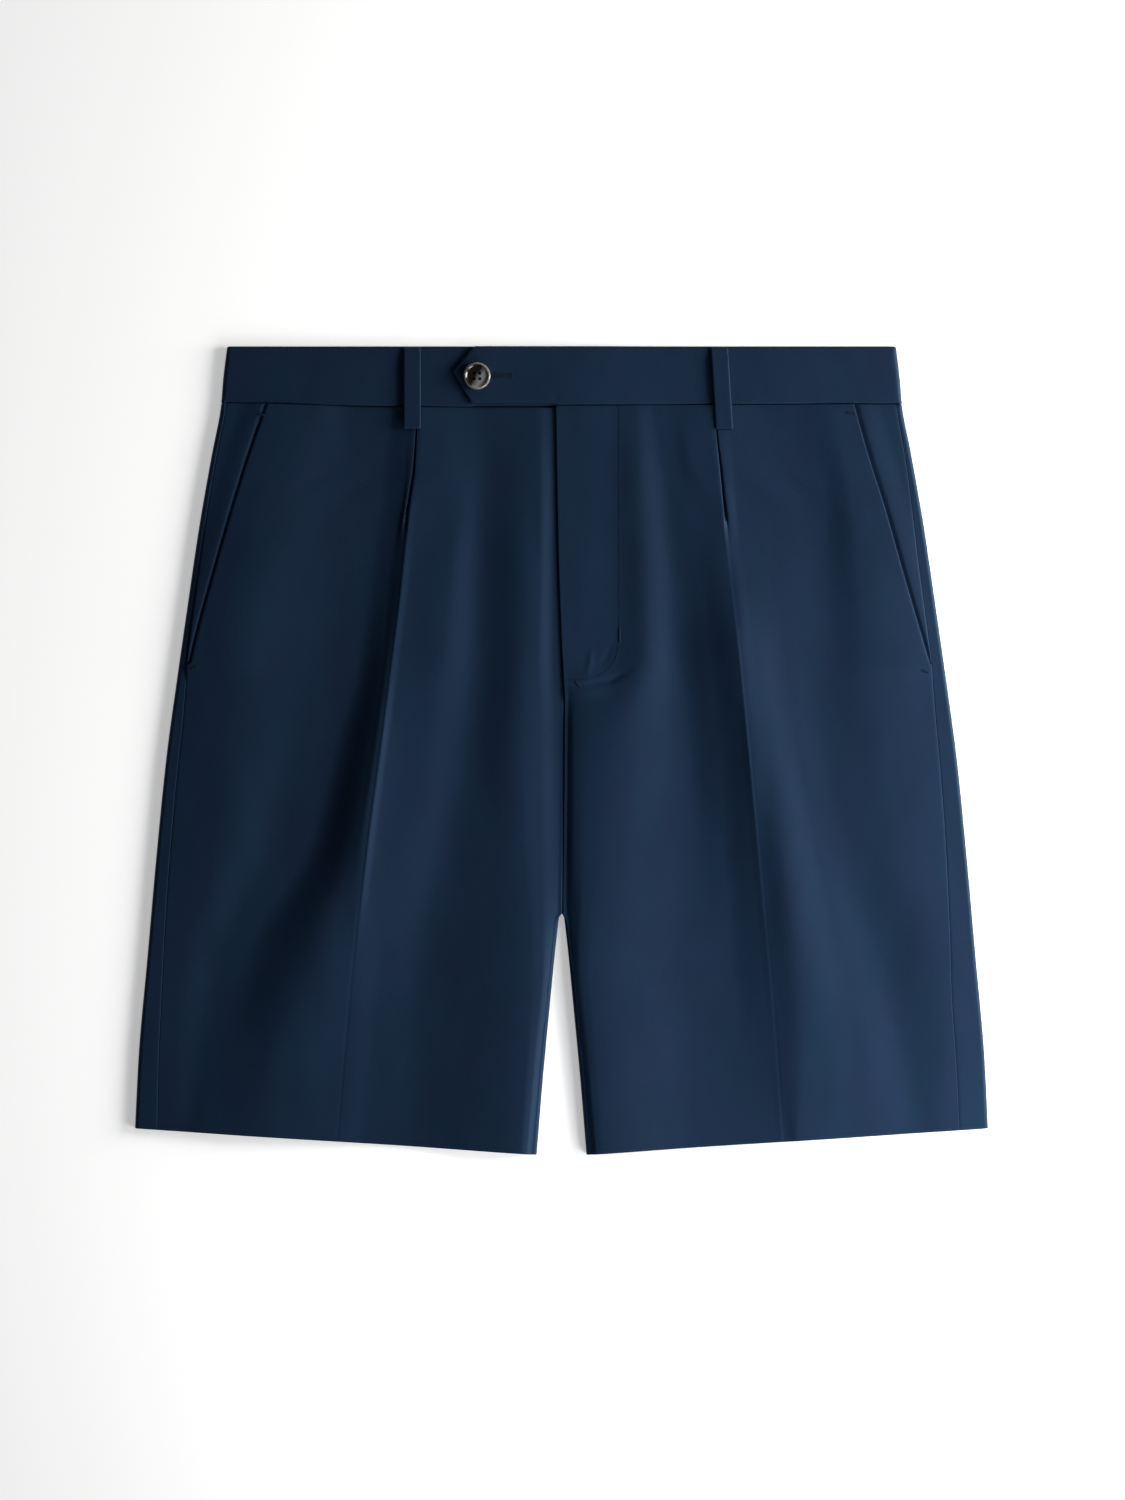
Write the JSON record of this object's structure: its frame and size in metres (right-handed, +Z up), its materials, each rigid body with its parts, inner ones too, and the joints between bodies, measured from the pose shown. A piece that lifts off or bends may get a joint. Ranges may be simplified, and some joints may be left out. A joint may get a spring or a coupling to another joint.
{
  "type": "pleated tailored shorts, laid flat",
  "caption": "Knee-length tailored shorts lying flat on their back, with a pleat and crease in each front, slant pockets, belt loops and a pointed tab waistband with a button.",
  "frame": {"origin": "on the surface that the shorts lie on, below the middle of the garment's box", "axes": "+X towards the wearer's left, +Y from the hems to the waist, +Z up from the surface"},
  "size_m": [0.5368, 0.5085, 0.0125],
  "materials": {
    "suiting": "navy wool-blend suiting with a fine weave and a faint sheen",
    "button": "dark horn-like resin, half polished, with four holes"
  },
  "bodies": {
    "root": {"front_right": "suiting", "front_left": "suiting", "back_right": "suiting", "back_left": "suiting", "pocket_facing_right": "suiting", "pocket_facing_left": "suiting", "waistband_right": "suiting", "waistband_left": "suiting", "belt_loop_right": "suiting", "belt_loop_left": "suiting", "button": "button"}
  },
  "joints": []
}
